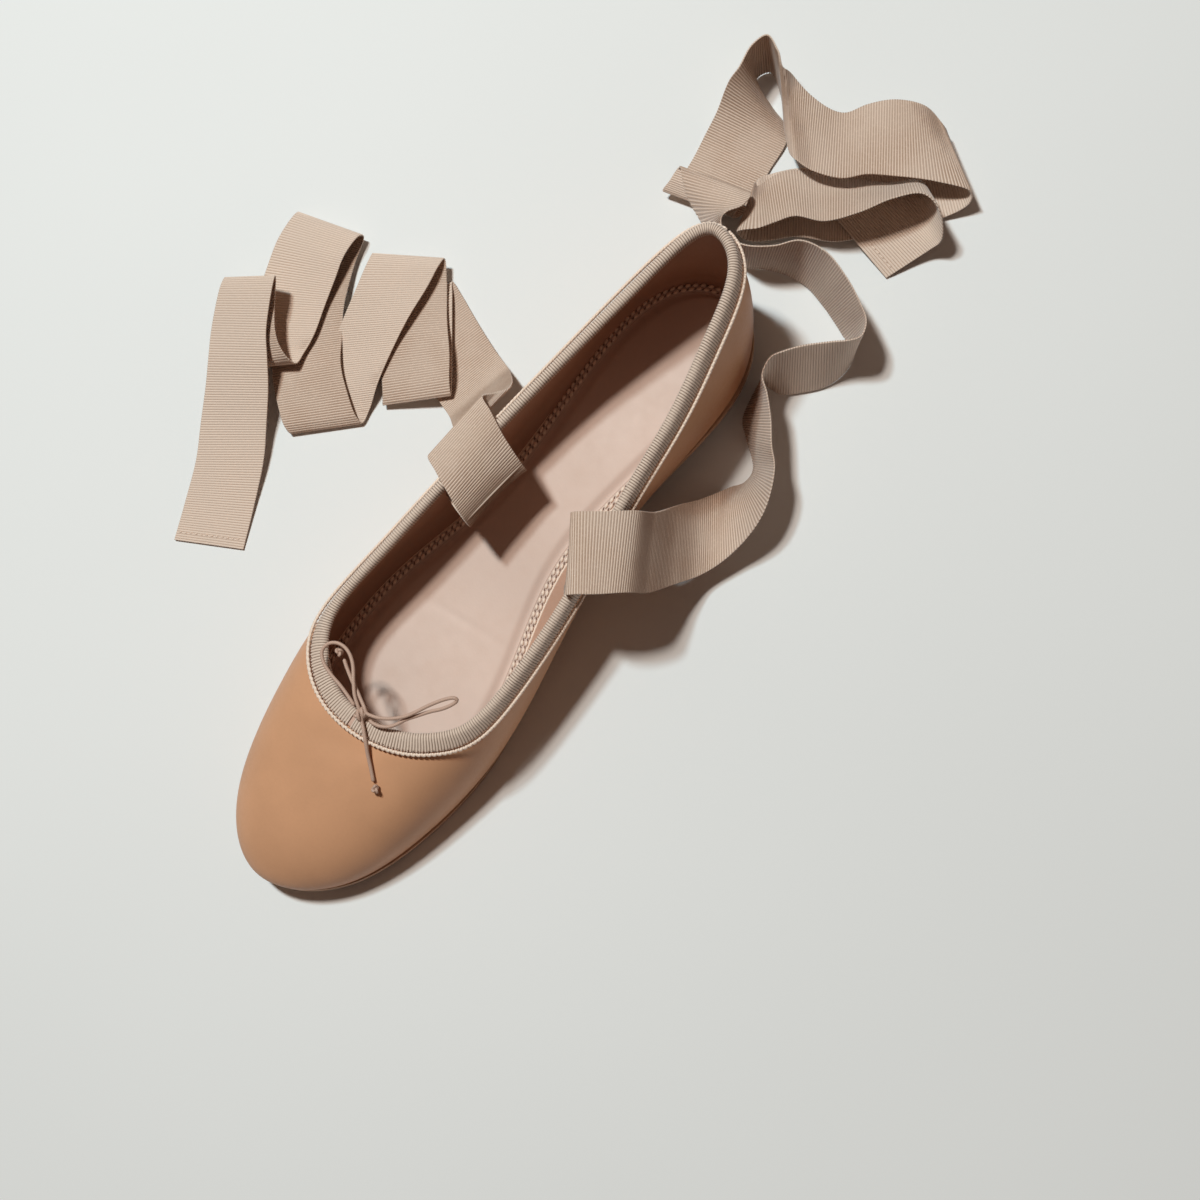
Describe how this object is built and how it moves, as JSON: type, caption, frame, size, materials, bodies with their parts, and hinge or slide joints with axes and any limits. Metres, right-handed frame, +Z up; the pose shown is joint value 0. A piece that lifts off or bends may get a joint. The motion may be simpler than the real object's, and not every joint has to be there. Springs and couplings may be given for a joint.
{
  "type": "lace-up ballet flat",
  "caption": "Right lace-up ballet flat in tan leather with a bound collar, a small cord bow and long grosgrain ribbon ties lying in folds.",
  "frame": {"origin": "on the floor under the middle of the shoe's outline, the free ties and bow left aside", "axes": "+Z up from the floor, -Y towards the toe, +X towards the inner (big toe) side"},
  "size_m": [0.1974, 0.3262, 0.062],
  "materials": {
    "tan_leather": "satin",
    "sole_leather": "matte",
    "heel_stack": "satin",
    "sock_leather": "satin",
    "grosgrain": "matte",
    "bow_cord": "matte"
  },
  "bodies": {
    "root": {"outsole": "sole_leather", "heel": "heel_stack", "upper": "tan_leather", "insole": "sock_leather", "topline_binding": "grosgrain", "tie_lateral": "grosgrain", "tie_medial": "grosgrain", "bow_knot": "bow_cord", "bow_loop_lateral": "bow_cord", "bow_loop_medial": "bow_cord", "bow_tail_inner": "bow_cord", "bow_tail_front": "bow_cord", "bow_end_knot_inner": "bow_cord", "bow_end_knot_front": "bow_cord"}
  },
  "joints": []
}
